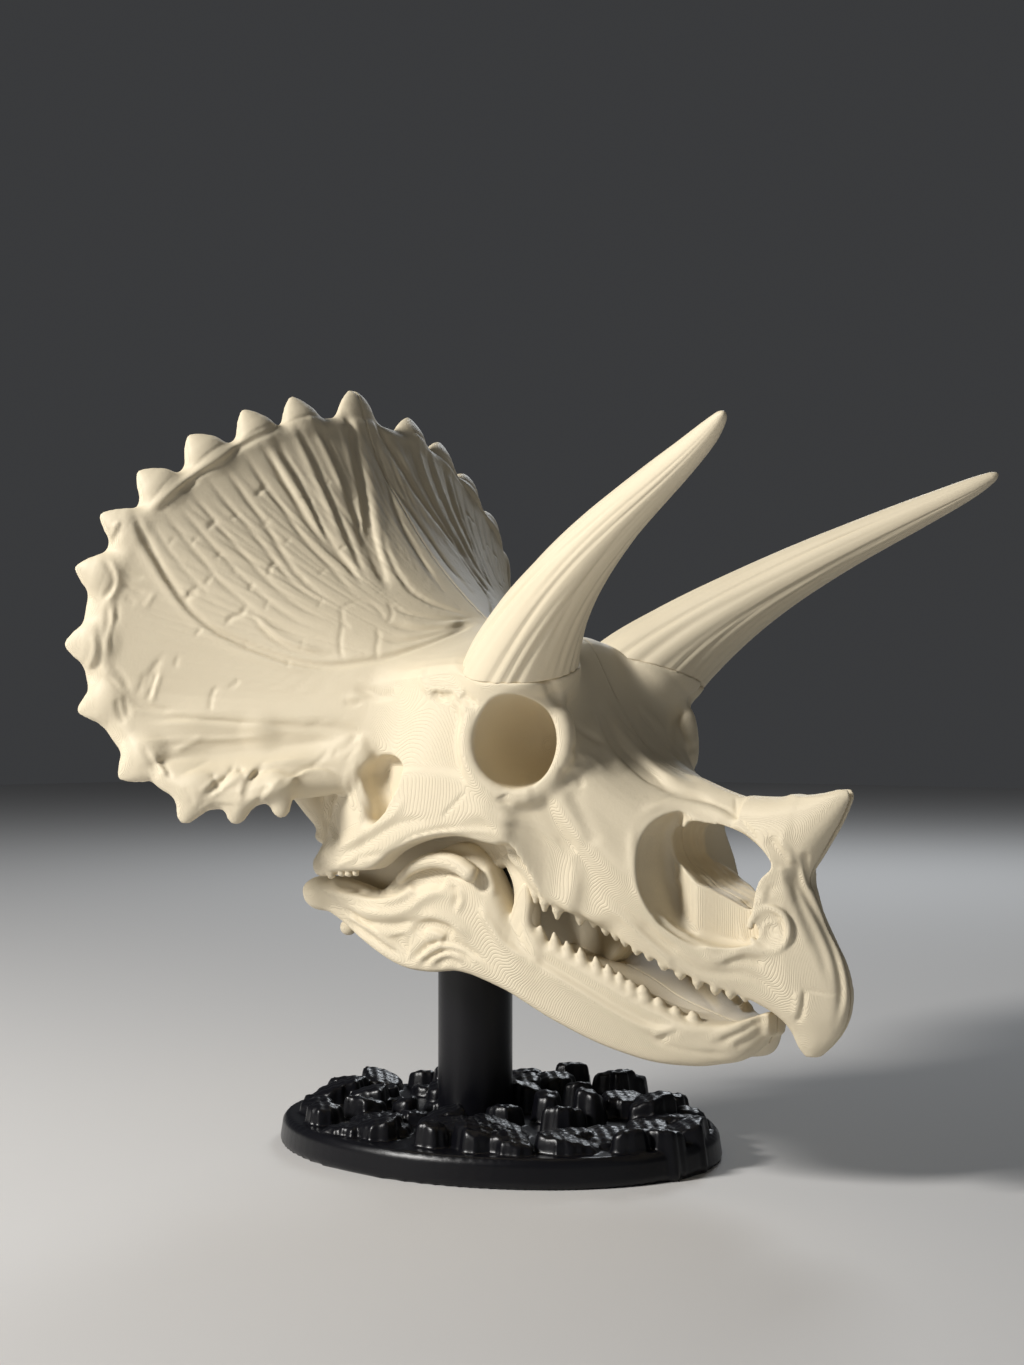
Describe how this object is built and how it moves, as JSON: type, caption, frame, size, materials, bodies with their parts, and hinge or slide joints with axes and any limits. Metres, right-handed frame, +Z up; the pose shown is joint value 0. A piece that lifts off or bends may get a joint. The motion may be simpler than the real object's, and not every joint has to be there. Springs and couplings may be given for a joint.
{
  "type": "printed triceratops skull display model",
  "caption": "Desk-size printed model of a Triceratops skull, frill up and snout down, fixed on a black post that rises from an oval rocky base.",
  "frame": {"origin": "middle of the flat underside of the oval base", "axes": "+X towards the beak, +Y towards the animal's left, +Z up"},
  "size_m": [0.2466, 0.2238, 0.2703],
  "materials": {
    "bone_plastic": "matte, printed in thin layers",
    "black_plastic": "satin, printed in thin layers"
  },
  "bodies": {
    "root": {"frill_right": "bone_plastic", "frill_left": "bone_plastic", "cranium_right": "bone_plastic", "cranium_left": "bone_plastic", "cheek_right": "bone_plastic", "cheek_left": "bone_plastic", "face_right": "bone_plastic", "face_left": "bone_plastic", "nose_horn_right": "bone_plastic", "nose_horn_left": "bone_plastic", "beak_right": "bone_plastic", "beak_left": "bone_plastic", "brow_horn_right": "bone_plastic", "brow_horn_left": "bone_plastic", "jaw_right": "bone_plastic", "jaw_left": "bone_plastic", "chin_right": "bone_plastic", "chin_left": "bone_plastic", "stand_base": "black_plastic", "stand_post": "black_plastic"}
  },
  "joints": []
}
